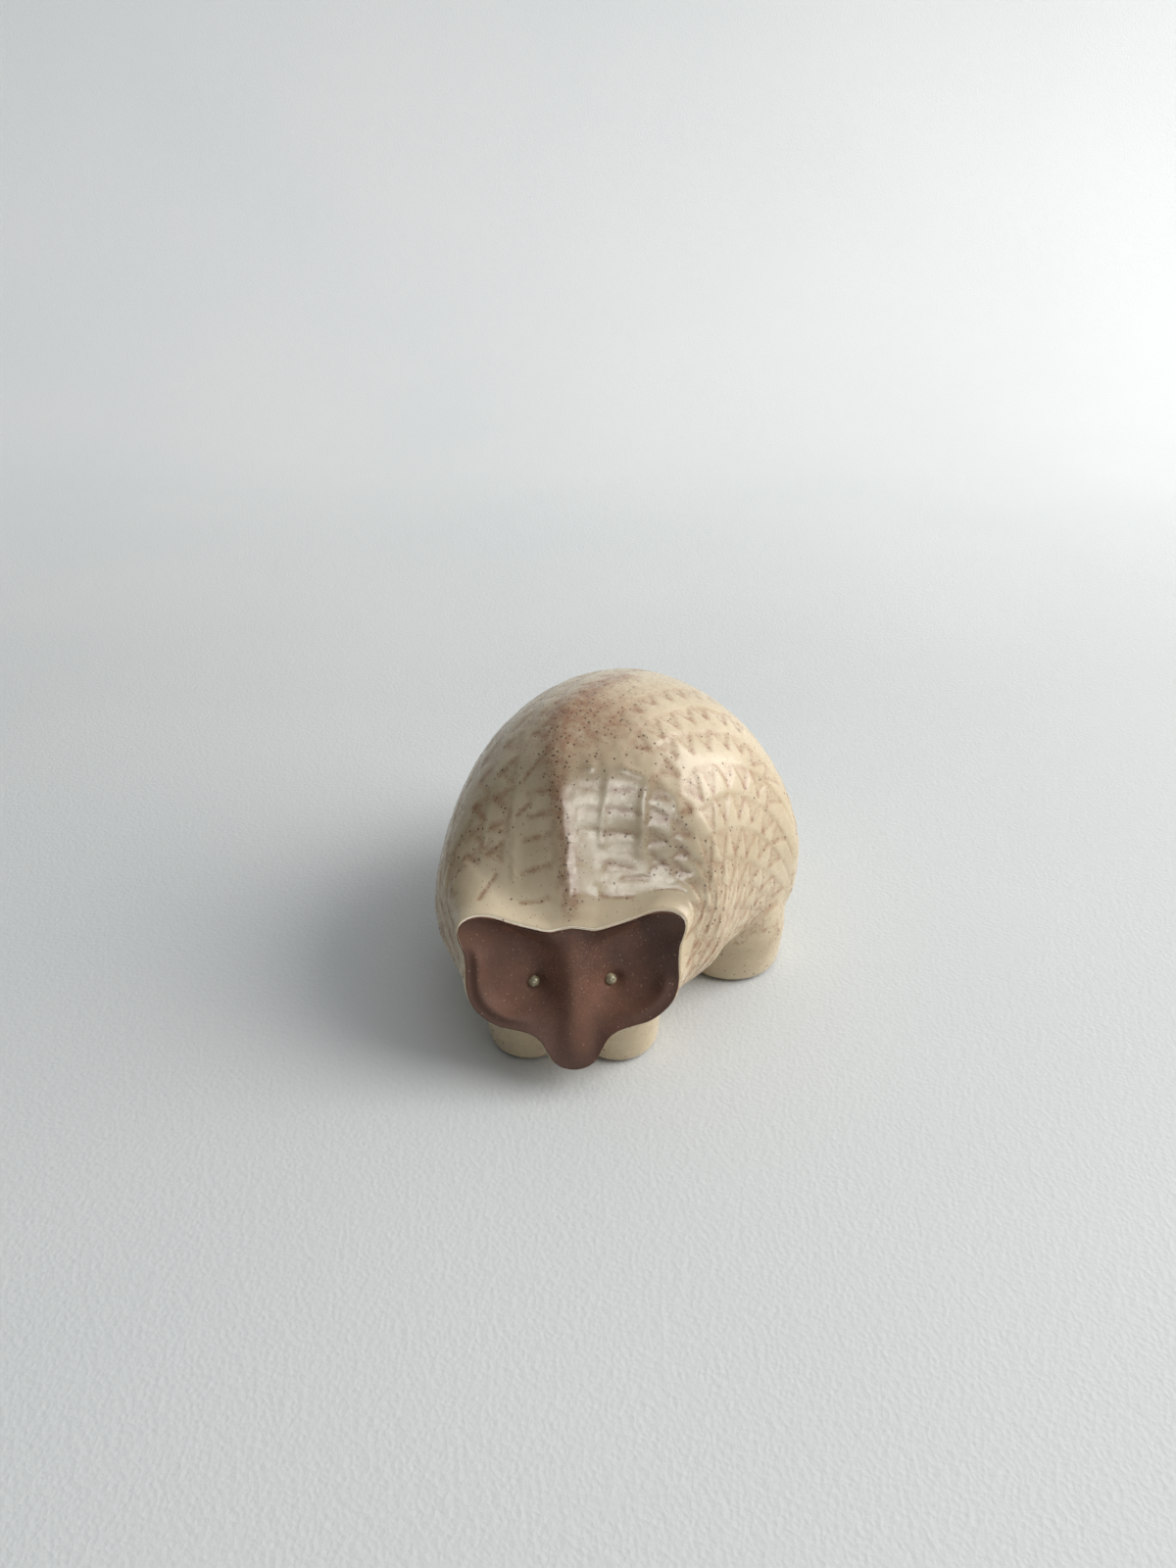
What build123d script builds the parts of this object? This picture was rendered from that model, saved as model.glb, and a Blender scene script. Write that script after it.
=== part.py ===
from build123d import *
import os
from math import atan2, cos, exp, hypot, pi, radians, sin

# A hollow stoneware hedgehog on four stub feet. Millimetres and degrees.
# Z is up, the chord of the bent body from face to rump runs along +Y, and the
# origin is on the table under the middle of the whole figurine.

# Body
spine_length = 99.5
bend_angle = 64.0
back_height = 77.7
brow_height = 38.2
waist_height = 29.8
belly_height = 10.4
neck_width = 66.6
rump_width = 87.3
wall_thickness = 4.5
glaze_thickness = 0.7

# Head
mask_width = 54.8
mask_length = 33.4
mask_tilt = 31.5
mask_thickness = 8.5
rim_width = 1.8
rim_setback = 0.9
dish_depth = 4.6
snout_width = 12.0

# Feet
front_foot_radius = 10.0
rear_foot_radius = 13.8
front_foot_spread = 22.6
rear_foot_spread = 62.0
foot_height = 28.0
shank_height = 13.0
shoulder_height = 23.0
sole_edge_radius = 2.4
sole_line_height = 1.1

# Eyes, closing plate and vent
eye_radius = 1.5
eye_spacing = 18.8
eye_drop = 4.6
eye_proud = 0.9
plate_length = 40.0
plate_width = 26.0
plate_thickness = 5.0
vent_diameter = 5.0

# Places along the spine, from the face at 0 to the rump at 1
peak_share = 0.445
widest_share = 0.743
front_foot_share = 0.072
rear_foot_share = 0.642
plate_share = 0.42
upright_share = 0.285
mask_blend_share = 0.19
sole_share = 0.95
shoulder_share = 0.93
crown_share = 0.3
station_shares = [
    0, 0.02, 0.045, 0.075, 0.11, 0.15, 0.2, 0.26, 0.33, 0.41, 0.5,
    0.59, 0.68, 0.76, 0.83, 0.89, 0.935, 0.967, 0.988,
]
hollow_start_share = 0.07

# The face's surface, sampled beyond its outline as shares of the mask
face_steps = 16
face_reach_share = 0.57
face_low_share = -0.86
face_high_share = 0.46
surface_tolerance = 0.05
overrun = 5.0

# How squarely the sections and the lines of the body are rounded
section_power = 2.11
flank_power_gain = 1.8
front_width_power = 1.17
rear_width_power = 2.64
front_rise_power = 1
rear_rise_power = 2.25
rear_belly_power = 7
lean_power = 1.5
dish_power = 4

# Half of the face's outline from the middle of the brow, round the ear and the
# cheek, to the tip of the snout: shares of half the mask width and of its length
mask_outline_shares = [
    (0, 0.243), (0.105, 0.232), (0.215, 0.222), (0.385, 0.255), (0.557, 0.298),
    (0.725, 0.34), (0.868, 0.34), (0.968, 0.301), (1, 0.245), (0.985, 0.175),
    (0.945, 0.098), (0.932, 0), (0.93, -0.146), (0.886, -0.269), (0.793, -0.357),
    (0.664, -0.424), (0.507, -0.459), (0.386, -0.491), (0.3, -0.541),
    (0.239, -0.62), (0.186, -0.693), (0.107, -0.74), (0, -0.757),
]

bend_radius = spine_length / radians(bend_angle)
mask_half = [(x * mask_width / 2, y * mask_length) for x, y in mask_outline_shares]
mask_points = mask_half[:-1] + [(-x, y) for x, y in reversed(mask_half[1:])]


def heading(share):
    """Direction of the spine in plan, in radians from +Y towards +X."""
    return radians(bend_angle) * (share - 1 / 2)


def spine_point(share):
    """The spine in plan, measured from the middle of the face."""
    start = heading(0)
    along_x = bend_radius * (cos(start) - cos(heading(share)))
    along_y = bend_radius * (sin(heading(share)) - sin(start))
    return along_x, along_y


def lean(share):
    """How far a section leans back: as the face does in front, upright behind."""
    return radians(mask_tilt) * max(1 - share / upright_share, 0) ** lean_power


def swell(share, start, full, peak, front_power, rear_power):
    """A size that grows from the face to its peak and closes at the rump."""
    if share <= peak:
        return start + (full - start) * sin(pi / 2 * share / peak) ** front_power
    past_peak = min((share - peak) / (1 - peak), 1)
    return full * (1 - past_peak ** rear_power) ** (1 / rear_power)


def half_width(share):
    start, full = neck_width / 2, rump_width / 2
    return swell(share, start, full, widest_share, front_width_power, rear_width_power)


def rise(share):
    start, full = brow_height - waist_height, back_height - waist_height
    return swell(share, start, full, peak_share, front_rise_power, rear_rise_power)


def drop(share):
    full = waist_height - belly_height
    return swell(share, full, full, peak_share, 1, rear_belly_power)


def oval_radius(angle, share, width, above, below):
    """Distance from the centre to a rounded oval, squarer below towards the rump."""
    upper = sin(angle) > 0
    height = above if upper else below
    power = section_power if upper else section_power + flank_power_gain * share
    reach = (abs(cos(angle)) / width) ** power + (abs(sin(angle)) / height) ** power
    return reach ** (-1 / power)


def pushed_out(points, amount):
    """A closed outline moved outwards along its own normals."""
    moved = []
    for index, (x, y) in enumerate(points):
        before_x, before_y = points[index - 1]
        after_x, after_y = points[(index + 1) % len(points)]
        run_x, run_y = after_x - before_x, after_y - before_y
        scale = amount / hypot(run_x, run_y)
        moved.append((x - run_y * scale, y + run_x * scale))
    return moved


def body_outline(share, growth):
    """A section of the body: the face's outline in front, an oval behind."""
    blend = min(share / mask_blend_share, 1)
    blend = blend * blend * (3 - 2 * blend)
    slant = cos(lean(share))
    above, below = rise(share) / slant, drop(share) / slant
    points = []
    for x, y in mask_points:
        angle = atan2(y, x)
        oval = oval_radius(angle, share, half_width(share), above, below)
        radius = hypot(x, y) * (1 - blend) + oval * blend
        points.append((radius * cos(angle), radius * sin(angle)))
    return pushed_out(points, growth)


def hollow_share(inner):
    """Where a share of the hollow's own length lies along the spine."""
    forehead_thickness = mask_thickness + wall_thickness
    inner_length = spine_length - forehead_thickness - wall_thickness
    return (forehead_thickness + inner * inner_length) / spine_length


def hollow_outline(inner):
    """A section of the hollow, one wall inside the body's oval."""
    slant = cos(lean(hollow_share(inner)))
    width = half_width(inner) * (1 - 2 * wall_thickness / rump_width)
    above = rise(inner) * (1 - wall_thickness / (back_height - waist_height)) / slant
    below = drop(inner) * (1 - wall_thickness / (waist_height - belly_height)) / slant
    points = []
    for x, y in mask_points:
        angle = atan2(y, x)
        radius = oval_radius(angle, inner, width, above, below)
        points.append((radius * cos(angle), radius * sin(angle)))
    return points


def section_plane(share, middle=(0, 0)):
    """The plane of one section, facing the front, with its Y axis up the body."""
    turn, tilt = heading(share), lean(share)
    sideways = Vector(cos(turn), -sin(turn), 0)
    up = Vector(sin(turn) * sin(tilt), cos(turn) * sin(tilt), cos(tilt))
    x, y = spine_point(share)
    start = (x - middle[0], y - middle[1], waist_height)
    return Plane(origin=start, x_dir=sideways, z_dir=sideways.cross(up))


def middle_of_plan():
    """The middle of the whole figurine in plan, from its sections' points."""
    corners = []
    for share in station_shares:
        plane = section_plane(share)
        for point in body_outline(share, glaze_thickness):
            corners.append(plane.from_local_coords(Vector(*point)))
    across = [corner.X for corner in corners]
    along = [corner.Y for corner in corners]
    return (min(across) + max(across)) / 2, (min(along) + max(along)) / 2


middle = middle_of_plan()
face_plane = section_plane(0, middle)


def plan_point(share, sideways=0):
    """A place on the table, sideways from the spine, positive to the left."""
    x, y = spine_point(share)
    turn = heading(share)
    return x - middle[0] + sideways * cos(turn), y - middle[1] - sideways * sin(turn)


def steps_round(outline):
    """How far round a closed outline each of its points lies, from 0 to 1."""
    sides = [
        hypot(x2 - x1, y2 - y1)
        for (x1, y1), (x2, y2) in zip(outline, outline[1:] + outline[:1])
    ]
    return [sum(sides[:count]) / sum(sides) for count in range(len(sides) + 1)]


def lofted_form(sections, tip_share):
    """A closed form through outlines along the spine, rounded off at the rump."""
    front_steps = steps_round(body_outline(0, 0))
    middle_steps = steps_round(body_outline(peak_share, 0))
    steps = [(front + behind) / 2 for front, behind in zip(front_steps, middle_steps)]
    faces = []
    for share, outline in sections:
        with BuildSketch(section_plane(share, middle)) as section:
            with BuildLine():
                add(Edge.make_spline([Vector(*point) for point in outline], periodic=True,
                                     parameters=steps))
            make_face()
        faces.append(section.sketch.faces()[0])
    tip_x, tip_y = plan_point(tip_share)
    with BuildPart() as form:
        loft(sections=[*faces, Vertex(tip_x, tip_y, waist_height)])
    return form.part


def foot_form(share, sideways, radius, growth=0):
    """A stub foot: a rounded sole, a shank that widens upwards, a drawn-in shoulder."""
    x, y = plan_point(share, sideways)
    reach = radius + growth
    sole_radius = reach * sole_share - sole_edge_radius
    with BuildPart() as form:
        with BuildSketch(Plane(origin=(x, y, 0), x_dir=(1, 0, 0), z_dir=(0, -1, 0))):
            with BuildLine():
                Line((0, 0), (sole_radius, 0))
                CenterArc((sole_radius, sole_edge_radius), sole_edge_radius, -90, 90)
                Polyline(
                    (reach * sole_share, sole_edge_radius),
                    (reach, shank_height),
                    (reach * shoulder_share, shoulder_height),
                    (reach * crown_share, foot_height),
                    (0, foot_height),
                    (0, 0),
                )
            make_face()
        revolve(axis=Axis((x, y, 0), (0, 0, 1)))
    return form.part


def mask_radius_at(angle):
    """Distance from the face's centre to its outline, in one direction."""
    for (x1, y1), (x2, y2) in zip(mask_half, mask_half[1:]):
        first, second = atan2(y1, x1), atan2(y2, x2)
        if second <= angle <= first:
            part = (first - angle) / (first - second)
            return hypot(x1, y1) * (1 - part) + hypot(x2, y2) * part
    return mask_length


def face_depth(x, y):
    """Depth of the face behind the front plane: two dishes beside a ridge."""
    across = (hypot(x, y) / mask_radius_at(atan2(y, abs(x)))) ** dish_power
    ridge = exp(-((2 * x / snout_width) ** 2))
    return rim_setback + dish_depth * (1 - across) / (1 + across) * (1 - ridge)


def face_place(x, y, behind):
    """A point behind the front plane, which leans back as the face does."""
    return face_plane.from_local_coords(Vector(x, y, -behind))


clay_form = lofted_form([(share, body_outline(share, 0)) for share in station_shares], 1)
glaze_reach = glaze_thickness / spine_length
glaze_form = lofted_form(
    [
        (share * (1 + 2 * glaze_reach) - glaze_reach, body_outline(share, glaze_thickness))
        for share in station_shares
    ],
    1 + glaze_reach,
)
hollow_form = lofted_form(
    [
        (hollow_share(inner), hollow_outline(inner))
        for inner in station_shares
        if inner >= hollow_start_share
    ],
    hollow_share(1),
)

# The space in front of the bare face, down to its dished surface
face_columns = [
    column / face_steps * face_reach_share * mask_width
    for column in range(-face_steps, face_steps + 1)
]
face_rows = [
    mask_length * (face_low_share + (face_high_share - face_low_share) * row / face_steps)
    for row in range(face_steps + 1)
]
face_grid = [[face_place(x, y, face_depth(x, y)) for y in face_rows] for x in face_columns]
with BuildPart() as face_space:
    extrude(
        to_extrude=Face.make_surface_from_array_of_points(face_grid, tol=surface_tolerance),
        amount=rim_setback + dish_depth + overrun,
        dir=face_plane.z_dir,
    )

# The dished clay plaque of the face, set in a lip of the body's clay
with BuildPart() as mask_bed:
    with BuildSketch(face_plane):
        with BuildLine():
            Spline(pushed_out(mask_points, -rim_width), periodic=True)
        make_face()
    extrude(amount=-mask_thickness)

# Each eye is a bead of glaze sunk in its dimple
eye_depth = face_depth(eye_spacing / 2, -eye_drop) + eye_radius - eye_proud
with BuildPart() as left_eye:
    with Locations(face_place(eye_spacing / 2, -eye_drop, eye_depth)):
        Sphere(eye_radius)
with BuildPart() as right_eye:
    with Locations(face_place(-eye_spacing / 2, -eye_drop, eye_depth)):
        Sphere(eye_radius)

with BuildPart() as face_mask:
    add(clay_form)
    add(face_space.part, mode=Mode.SUBTRACT)
    add(mask_bed.part, mode=Mode.INTERSECT)
    add(left_eye.part, mode=Mode.SUBTRACT)
    add(right_eye.part, mode=Mode.SUBTRACT)

# The slab that closes the hollow under the belly, with its kiln vent
plate_x, plate_y = plan_point(plate_share)
plate_plane = Plane(
    origin=(plate_x, plate_y, 0),
    x_dir=(sin(heading(plate_share)), cos(heading(plate_share)), 0),
    z_dir=(0, 0, 1),
)
with BuildPart() as vent:
    with BuildSketch(plate_plane):
        Circle(vent_diameter / 2)
    extrude(amount=waist_height)
with BuildPart() as plate_opening:
    with BuildSketch(plate_plane):
        Ellipse(plate_length / 2, plate_width / 2)
    extrude(amount=waist_height)
with BuildPart() as belly_plate:
    with BuildSketch(plate_plane):
        Ellipse(plate_length / 2, plate_width / 2)
    extrude(amount=belly_height + plate_thickness)
    add(clay_form, mode=Mode.INTERSECT)
    add(vent.part, mode=Mode.SUBTRACT)

with BuildPart() as body_dome:
    add(clay_form)
    add(face_space.part, mode=Mode.SUBTRACT)
    add(mask_bed.part, mode=Mode.SUBTRACT)
    add(hollow_form, mode=Mode.SUBTRACT)
    add(plate_opening.part, mode=Mode.SUBTRACT)

# Four stubs luted under the body; the animal's left is on the +X side
feet = {
    "front_left_foot": (front_foot_share, front_foot_spread / 2, front_foot_radius),
    "front_right_foot": (front_foot_share, -front_foot_spread / 2, front_foot_radius),
    "rear_left_foot": (rear_foot_share, rear_foot_spread / 2, rear_foot_radius),
    "rear_right_foot": (rear_foot_share, -rear_foot_spread / 2, rear_foot_radius),
}
pieces = {
    "body_dome": body_dome,
    "belly_plate": belly_plate,
    "face_mask": face_mask,
    "left_eye": left_eye,
    "right_eye": right_eye,
}
for name, place in feet.items():
    with BuildPart() as foot:
        add(foot_form(*place))
        add(clay_form, mode=Mode.SUBTRACT)
    pieces[name] = foot

# The fired glaze: a glass skin over everything but the face and the soles
with BuildPart() as glaze_coat:
    add(glaze_form)
    for place in feet.values():
        add(foot_form(*place, growth=glaze_thickness))
    add(clay_form, mode=Mode.SUBTRACT)
    for place in feet.values():
        add(foot_form(*place), mode=Mode.SUBTRACT)
    add(face_space.part, mode=Mode.SUBTRACT)
    add(vent.part, mode=Mode.SUBTRACT)
    split(bisect_by=Plane.XY.offset(sole_line_height), keep=Keep.TOP)
pieces["glaze_coat"] = glaze_coat

os.makedirs("parts", exist_ok=True)
for name, piece in pieces.items():
    piece.part.label = name
    export_step(piece.part, f"parts/{name}.step")
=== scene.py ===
from math import cos, pi, radians, sin

import bmesh
import bpy
import numpy as np
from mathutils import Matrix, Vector
from mathutils.bvhtree import BVHTree
from mathutils.kdtree import KDTree


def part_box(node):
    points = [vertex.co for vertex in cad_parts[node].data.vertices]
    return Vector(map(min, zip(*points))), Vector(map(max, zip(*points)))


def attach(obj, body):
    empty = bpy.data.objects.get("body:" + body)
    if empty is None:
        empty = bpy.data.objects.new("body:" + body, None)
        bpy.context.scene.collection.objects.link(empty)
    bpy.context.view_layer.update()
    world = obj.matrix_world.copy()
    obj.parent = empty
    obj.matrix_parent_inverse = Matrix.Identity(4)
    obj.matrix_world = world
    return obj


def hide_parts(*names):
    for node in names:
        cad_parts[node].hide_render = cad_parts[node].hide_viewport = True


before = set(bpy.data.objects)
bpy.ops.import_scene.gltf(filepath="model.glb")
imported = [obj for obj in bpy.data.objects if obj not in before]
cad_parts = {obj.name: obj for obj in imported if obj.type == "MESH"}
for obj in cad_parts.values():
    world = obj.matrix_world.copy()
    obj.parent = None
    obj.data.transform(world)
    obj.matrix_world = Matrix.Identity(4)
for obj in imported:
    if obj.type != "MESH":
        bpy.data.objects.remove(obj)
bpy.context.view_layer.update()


# The clay body, its belly plate and the four stub feet
# A hollow dome of dark iron stoneware, closed below by a slab and stood on four lumps,
# all joined wet and fired in one. The clay shows bare only at the soles.
foot_places = {  # share of the spine, millimetres sideways of it, radius
    "front_left_foot": (0.072, 11.3, 10.0),
    "front_right_foot": (0.072, -11.3, 10.0),
    "rear_left_foot": (0.642, 31.0, 13.8),
    "rear_right_foot": (0.642, -31.0, 13.8),
}


class Finish:
    """A material as it is mixed: its nodes are added and linked one by one."""

    def __init__(self, owner):
        owner.use_nodes = True
        self.tree = owner.node_tree
        self.tree.nodes.clear()
        self.coordinates = self.add("ShaderNodeTexCoord").outputs

    def add(self, kind, **values):
        node = self.tree.nodes.new(kind)
        for key, value in values.items():
            setattr(node, key, value)
        return node

    def link(self, output, socket):
        self.tree.links.new(output, socket)

    def feed(self, socket, value):
        """Gives a socket another node's output, or a plain number or colour."""
        if isinstance(value, (int, float, tuple, Vector)):
            socket.default_value = value
        else:
            self.link(value, socket)

    def noise(self, scale, detail=2.0, rough=0.5):
        """Cloudy noise over the object, with features 1 / scale metres wide."""
        node = self.add("ShaderNodeTexNoise")
        self.link(self.coordinates["Object"], node.inputs["Vector"])
        for label, value in (("Scale", scale), ("Detail", detail), ("Roughness", rough)):
            node.inputs[label].default_value = value
        return node.outputs[0]

    def cells(self, scale):
        """A field of cells over the object, each 1 / scale metres wide."""
        node = self.add("ShaderNodeTexVoronoi")
        self.link(self.coordinates["Object"], node.inputs["Vector"])
        node.inputs["Scale"].default_value = scale
        return node.outputs

    def attribute(self, label):
        return self.add("ShaderNodeAttribute", attribute_name=label).outputs["Fac"]

    def ramp(self, source, low, high, start=0.0, end=1.0):
        """Maps a value's range from low to high onto start to end, held at both."""
        node = self.add("ShaderNodeMapRange", clamp=True)
        for label, value in (("Value", source), ("From Min", low), ("From Max", high),
                             ("To Min", start), ("To Max", end)):
            self.feed(node.inputs[label], value)
        return node.outputs["Result"]

    def work(self, operation, first, second):
        node = self.add("ShaderNodeMath", operation=operation)
        self.feed(node.inputs[0], first)
        self.feed(node.inputs[1], second)
        return node.outputs[0]

    def plus(self, first, second):
        return self.work("ADD", first, second)

    def times(self, first, second):
        return self.work("MULTIPLY", first, second)

    def along(self, places, direction):
        """How far a place lies along a direction."""
        node = self.add("ShaderNodeVectorMath", operation="DOT_PRODUCT")
        self.feed(node.inputs[0], places)
        self.feed(node.inputs[1], direction)
        return node.outputs["Value"]

    def blended(self, share, first, second):
        """Mixes two colours, each a plain colour or another node's output."""
        node = self.add("ShaderNodeMix", data_type="RGBA")
        self.link(share, node.inputs["Factor"])
        self.feed(node.inputs[6], first)
        self.feed(node.inputs[7], second)
        return node.outputs[2]

    def specks(self, cells, size, density):
        """Round specks of burnt-out iron, as many as the density says, cell by cell."""
        spots = self.cells(cells)
        wobble = self.noise(cells * 2.5)
        edge = self.plus(spots["Distance"], self.ramp(wobble, 0, 1, -0.16, 0.16))
        chance = self.add("ShaderNodeSeparateColor")
        self.link(spots["Color"], chance.inputs[0])
        picked = self.work("LESS_THAN", chance.outputs[0], density)
        return self.times(self.ramp(edge, size, size * 0.45), picked)

    def surface(self, colour, roughness, settings, grain=None, strength=0.0, depth=0.0):
        """Ends the mix in one shader; the grain stands out by a share of its depth in metres."""
        shader = self.add("ShaderNodeBsdfPrincipled")
        self.link(colour, shader.inputs["Base Color"])
        self.link(roughness, shader.inputs["Roughness"])
        for label, value in settings.items():
            self.feed(shader.inputs[label], value)
        if grain:
            bump = self.add("ShaderNodeBump")
            bump.inputs["Strength"].default_value = strength
            bump.inputs["Distance"].default_value = depth
            self.link(grain, bump.inputs["Height"])
            self.link(bump.outputs[0], shader.inputs["Normal"])
        self.link(shader.outputs[0], self.add("ShaderNodeOutputMaterial").inputs["Surface"])


def linear(red, green, blue):
    """A colour seen as 0 to 255 on a screen, as the shader wants it."""
    parts = [value / 255 for value in (red, green, blue)]
    return tuple(
        v / 12.92 if v <= 0.04045 else ((v + 0.055) / 1.055) ** 2.4 for v in parts
    ) + (1,)


def clay_material():
    """Dark iron stoneware, burnt reddish, with a dusting of sand that catches the light; painted shade
    darkens the face towards its rim.
    """
    burnt_red, burnt_brown, rim_painted_shade = linear(128, 84, 62), linear(88, 59, 46), linear(64, 45, 37)
    sand_buff, dust_pale, pit_dark = linear(160, 120, 98), linear(190, 158, 134), linear(58, 38, 30)
    material = bpy.data.materials.new("dark_clay")
    mix = Finish(material)
    sand = mix.noise(1700, 4, 0.7)
    cloud = mix.noise(62, 3, 0.6)
    colour = mix.blended(mix.ramp(cloud, 0.35, 0.68), burnt_red, burnt_brown)
    colour = mix.blended(mix.ramp(sand, 0.52, 0.72, 0, 0.55), colour, sand_buff)
    # painted shade: the face's rolled rim is darkened towards its edge, standing in for the shade that
    # falls on it
    colour = mix.blended(mix.ramp(mix.attribute("rim"), 0.2, 1.0, 0, 0.6), colour, rim_painted_shade)
    colour = mix.blended(mix.times(mix.specks(1500, 0.3, 0.08), 0.6), colour, dust_pale)
    colour = mix.blended(mix.times(mix.specks(900, 0.3, 0.1), 0.6), colour, pit_dark)
    grain = mix.plus(sand, mix.times(mix.noise(4200, 2, 0.6), 0.5))
    mix.surface(colour, mix.ramp(sand, 0.3, 0.7, 0.55, 0.75), {"Specular IOR Level": 0.35},
                grain, 0.5, 0.00012)
    return material


dark_clay = clay_material()
for name in ("body_dome", "belly_plate", *foot_places):
    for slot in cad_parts[name].material_slots:
        slot.material = dark_clay


# The glaze skin
# A cream glaze, dipped on and melted into one glass skin over the pads, teeth and strokes
# pressed into the wet clay: pale on the high places, broken rusty in the lines.
millimetre = 0.001  # the sizes below are in millimetres
spine_length = 99.5
bend = radians(64)
back_height = 77.7
brow_height = 38.2
waist_height = 29.8
belly_height = 10.4
neck_width = 66.6
rump_width = 87.3
peak_share = 0.445
widest_share = 0.743
upright_share = 0.285
mask_blend_share = 0.19
section_power = 2.11
flank_power_gain = 1.8
mask_width = 54.8
mask_length = 33.4
mask_tilt = radians(31.5)
glaze_thickness = 0.7
middle = np.array([-11.835, 44.2404])
mask_outline_shares = [
    (0, 0.243), (0.105, 0.232), (0.215, 0.222), (0.385, 0.255), (0.557, 0.298),
    (0.725, 0.34), (0.868, 0.34), (0.968, 0.301), (1, 0.245), (0.985, 0.175),
    (0.945, 0.098), (0.932, 0), (0.93, -0.146), (0.886, -0.269), (0.793, -0.357),
    (0.664, -0.424), (0.507, -0.459), (0.386, -0.491), (0.3, -0.541),
    (0.239, -0.62), (0.186, -0.693), (0.107, -0.74), (0, -0.757),
]


def rounded_outline(rounds=16):
    """The face's outline, mirrored and rounded through its chosen points."""
    half = [(x * mask_width / 2, y * mask_length) for x, y in mask_outline_shares]
    points = np.array(half[:-1] + [(-x, y) for x, y in reversed(half[1:])])
    before, after, beyond = (np.roll(points, turn, 0) for turn in (1, -1, -2))
    curve = []
    for t in np.arange(rounds) / rounds:
        curve.append(0.5 * (
            2 * points + (after - before) * t
            + (2 * before - 5 * points + 4 * after - beyond) * t ** 2
            + (3 * points - before - 3 * after + beyond) * t ** 3
        ))
    return np.stack(curve, 1).reshape(-1, 2)


def swell(share, start, full, peak, front_power, rear_power):
    """A size that grows from the face to its peak and closes at the rump."""
    share = np.clip(share, 0, 1)
    ahead = start + (full - start) * np.sin(pi / 2 * np.minimum(share / peak, 1)) ** front_power
    past = np.clip((share - peak) / (1 - peak), 0, 1)
    return np.where(share <= peak, ahead, full * (1 - past ** rear_power) ** (1 / rear_power))


def lean(share):
    """How far a section leans back, from the mask's own tilt to upright."""
    return mask_tilt * np.clip(1 - share / upright_share, 0, 1) ** 1.5


def oval_radius(angle, share):
    """Distance from the centre to the rounded section of the body."""
    slant = np.cos(lean(share))
    width = swell(share, neck_width / 2, rump_width / 2, widest_share, 1.17, 2.64)
    above = swell(share, brow_height - waist_height, back_height - waist_height, peak_share, 1, 2.25)
    below = swell(share, waist_height - belly_height, waist_height - belly_height, peak_share, 1, 7)
    upper = np.sin(angle) > 0
    height = np.where(upper, above, below) / slant + 1e-9
    power = np.where(upper, section_power, section_power + flank_power_gain * np.clip(share, 0, 1))
    reach = (np.abs(np.cos(angle)) / (width + 1e-9)) ** power + (np.abs(np.sin(angle)) / height) ** power
    return reach ** (-1 / power)


def smooth_step(value):
    """Eases from 0 to 1."""
    value = np.clip(value, 0, 1)
    return value * value * (3 - 2 * value)


def around(outline_turn):
    """Angles round a section, spaced evenly on the face and on the body at once."""
    dense = rounded_outline()
    angle = np.unwrap(np.arctan2(dense[:, 1], dense[:, 0]))
    radius = np.hypot(dense[:, 0], dense[:, 1])
    angle = np.append(angle, angle[0] - 2 * pi)
    radius = np.append(radius, radius[0])
    body = oval_radius(angle, peak_share)
    turns = []
    for reach in (radius, body):
        points = np.stack([reach * np.cos(angle), reach * np.sin(angle)], 1)
        steps = np.append(0, np.cumsum(np.linalg.norm(np.diff(points, axis=0), axis=1)))
        turns.append(steps / steps[-1])
    even = (turns[0] + 2 * turns[1]) / 3
    angles = np.interp(outline_turn, even, angle)
    return angles, np.interp(outline_turn, even, radius)


def section(share, angles, mask_radius):
    """Points round one section of the clay body, in the section's own plane."""
    blend = smooth_step(np.clip(share, 0, 1) / mask_blend_share)
    radius = mask_radius * (1 - blend) + oval_radius(angles, share) * blend
    return np.stack([radius * np.cos(angles), radius * np.sin(angles)], 1)


def axes_at(share):
    """A section's middle, its sideways and upward directions, and the way it faces."""
    radius = spine_length / bend
    heading = bend * (min(share, 1) - 0.5)
    tilt = lean(share)
    x = radius * (cos(bend / 2) - cos(heading)) - middle[0]
    y = radius * (sin(heading) + sin(bend / 2)) - middle[1]
    side = np.array([cos(heading), -sin(heading), 0])
    rise = np.array([sin(heading) * sin(tilt), cos(heading) * sin(tilt), cos(tilt)])
    return np.array([x, y, waist_height]), side, rise, np.cross(side, rise)


def placed(share, points):
    """A section's points in the figurine's own frame."""
    centre, side, rise, _ = axes_at(share)
    return centre + points[:, :1] * side + points[:, 1:] * rise


def plan_place(share, sideways):
    """A place on the table under the spine, some way to the animal's left."""
    radius = spine_length / bend
    heading = bend * (share - 0.5)
    x = radius * (cos(bend / 2) - cos(heading)) - middle[0] + sideways * cos(heading)
    y = radius * (sin(heading) + sin(bend / 2)) - middle[1] - sideways * sin(heading)
    return x, y


def even_shares(rows):
    """Shares of the spine that lie evenly along the crest and the flanks."""
    angles, radii = around(np.array([0, 0.12, 0.25, 0.75, 0.88]))
    shares = 1 - (1 - np.linspace(0, 1, 4000)) ** 5
    lines = np.array([placed(s, section(s, angles, radii)) for s in shares])
    steps = np.linalg.norm(np.diff(lines, axis=0), axis=2)
    run = np.append(0, np.cumsum(steps[:, :3].mean(1)))
    crest = np.append(0, np.cumsum(steps[:, 0]))
    even = np.interp(np.linspace(0, run[-1], rows), run, shares)
    return even, np.interp(even, shares, crest)


def made(name, bm):
    """The mesh of a finished bmesh."""
    mesh = bpy.data.meshes.new(name)
    bm.to_mesh(mesh)
    bm.free()
    return mesh


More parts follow.
